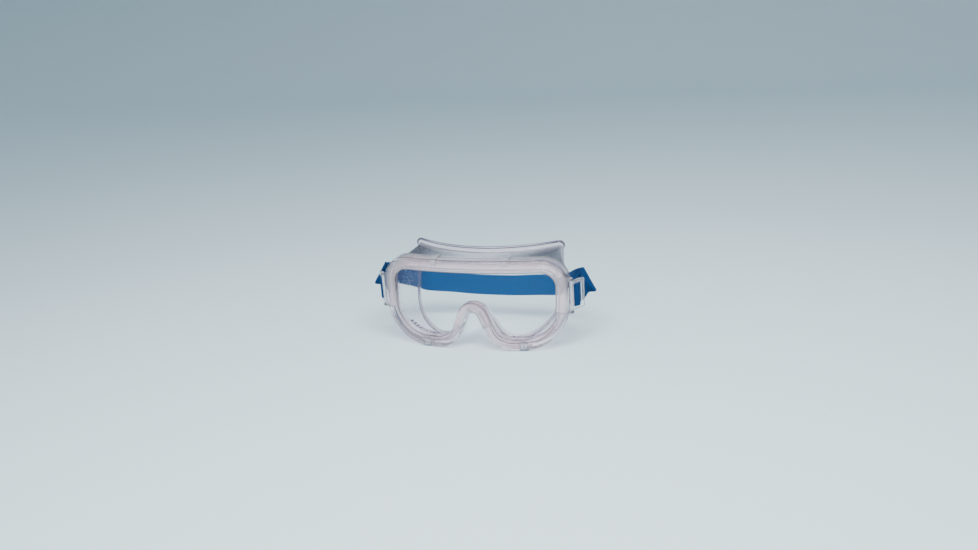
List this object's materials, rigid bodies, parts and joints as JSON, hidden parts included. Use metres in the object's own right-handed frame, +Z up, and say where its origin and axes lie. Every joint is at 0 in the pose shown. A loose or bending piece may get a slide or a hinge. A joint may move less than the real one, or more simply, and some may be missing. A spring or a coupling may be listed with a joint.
{
  "type": "safety goggles",
  "caption": "Clear wrap-around safety goggles: soft vented body with a face seal, curved lens, clear rim covers and a blue elastic headband threaded through hinged side clips.",
  "frame": {"origin": "on the surface the goggles stand on, below the middle of their bounding box", "axes": "+X towards the wearer's left temple, along the goggles' width; -Y out through the lens, +Y towards the back of the head; +Z up"},
  "size_m": [0.2158, 0.078, 0.0863],
  "materials": {
    "soft_pvc": "soft, clear with a slight milky pink tint",
    "clear_polycarbonate": "polished and clear",
    "cover_plastic": "polished, clear with a pink tint",
    "clip_plastic": "polished and clear",
    "steel": "bright drawn wire",
    "elastic_webbing": "woven elastic"
  },
  "bodies": {
    "frame": {"soft_body": "soft_pvc", "lens": "clear_polycarbonate", "upper_cover": "cover_plastic", "nose_cover": "cover_plastic", "lobe_clip_left": "clip_plastic", "lobe_clip_right": "clip_plastic", "top_clip_left": "clip_plastic", "top_clip_right": "clip_plastic", "top_peg_left": "cover_plastic", "top_peg_right": "cover_plastic", "hinge_pin_left": "steel", "hinge_pin_right": "steel", "strap_fold_left": "elastic_webbing", "strap_fold_right": "elastic_webbing", "strap_band": "elastic_webbing"},
    "left_clip": {"strap_clip_left": "clip_plastic", "strap_end_left": "elastic_webbing"},
    "right_clip": {"strap_clip_right": "clip_plastic", "strap_end_right": "elastic_webbing"}
  },
  "joints": [
    {"name": "left_clip_hinge", "type": "hinge", "parent": "frame", "child": "left_clip", "pos_m": [-0.0889, -0.02353, 0.051], "axis": [0, 0, -1], "range_deg": [-35, 8], "deforming": ["strap_fold_left"]},
    {"name": "right_clip_hinge", "type": "hinge", "parent": "frame", "child": "right_clip", "pos_m": [0.0889, -0.02353, 0.051], "axis": [0, 0, 1], "range_deg": [-35, 8], "deforming": ["strap_fold_right"]}
  ]
}
